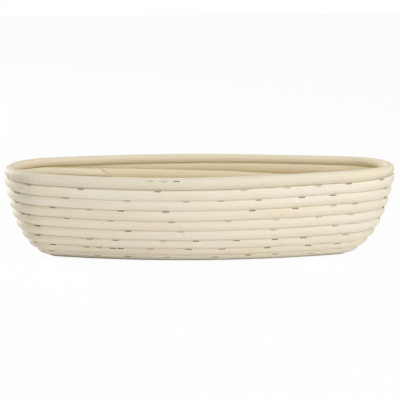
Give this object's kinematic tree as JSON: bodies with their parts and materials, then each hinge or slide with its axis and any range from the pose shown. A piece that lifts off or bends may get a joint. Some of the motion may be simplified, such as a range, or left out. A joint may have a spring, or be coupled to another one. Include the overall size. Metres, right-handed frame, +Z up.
{
  "type": "proofing basket",
  "caption": "Long oval bread proofing basket wound from round cane, with a flat cane base, a flared coiled wall, a thicker lapped rim and wire staples between the coils.",
  "frame": {"origin": "middle of the flat underside of the base's middle cane, on the table", "axes": "+X along the basket to the right as pictured, +Y to the back, +Z up"},
  "size_m": [0.3498, 0.1411, 0.0871],
  "materials": {
    "coil_cane": "bare matt cane",
    "rim_cane": "bare matt cane",
    "staple_wire": "dull galvanised"
  },
  "bodies": {
    "root": {"base_front_outer_cane": "coil_cane", "base_front_inner_cane": "coil_cane", "base_spine": "coil_cane", "base_back_inner_cane": "coil_cane", "base_back_outer_cane": "coil_cane", "base_cane": "coil_cane", "lower_wall_cane": "coil_cane", "middle_wall_cane": "coil_cane", "upper_wall_cane": "coil_cane", "top_wall_cane": "coil_cane", "rim_cane": "rim_cane", "joint_1_staple_ending_above": "staple_wire", "joint_1_staple_ending_below": "staple_wire", "joint_1_staple_starting_above": "staple_wire", "joint_1_staple_starting_below": "staple_wire", "joint_2_staple_ending_above": "staple_wire", "joint_2_staple_ending_below": "staple_wire", "joint_2_staple_starting_above": "staple_wire", "joint_2_staple_starting_below": "staple_wire", "joint_3_staple_ending_above": "staple_wire", "joint_3_staple_ending_below": "staple_wire", "joint_3_staple_starting_above": "staple_wire", "joint_3_staple_starting_below": "staple_wire", "joint_4_staple_ending_above": "staple_wire", "joint_4_staple_ending_below": "staple_wire", "joint_4_staple_starting_above": "staple_wire", "joint_4_staple_starting_below": "staple_wire", "rim_face_staple_1": "staple_wire", "rim_face_staple_2": "staple_wire", "rim_face_staple_3": "staple_wire", "rim_staple_01": "staple_wire", "rim_staple_02": "staple_wire", "rim_staple_03": "staple_wire", "rim_staple_04": "staple_wire", "rim_staple_05": "staple_wire", "rim_staple_06": "staple_wire", "rim_staple_07": "staple_wire", "rim_staple_08": "staple_wire", "rim_staple_09": "staple_wire", "rim_staple_10": "staple_wire"}
  },
  "joints": []
}
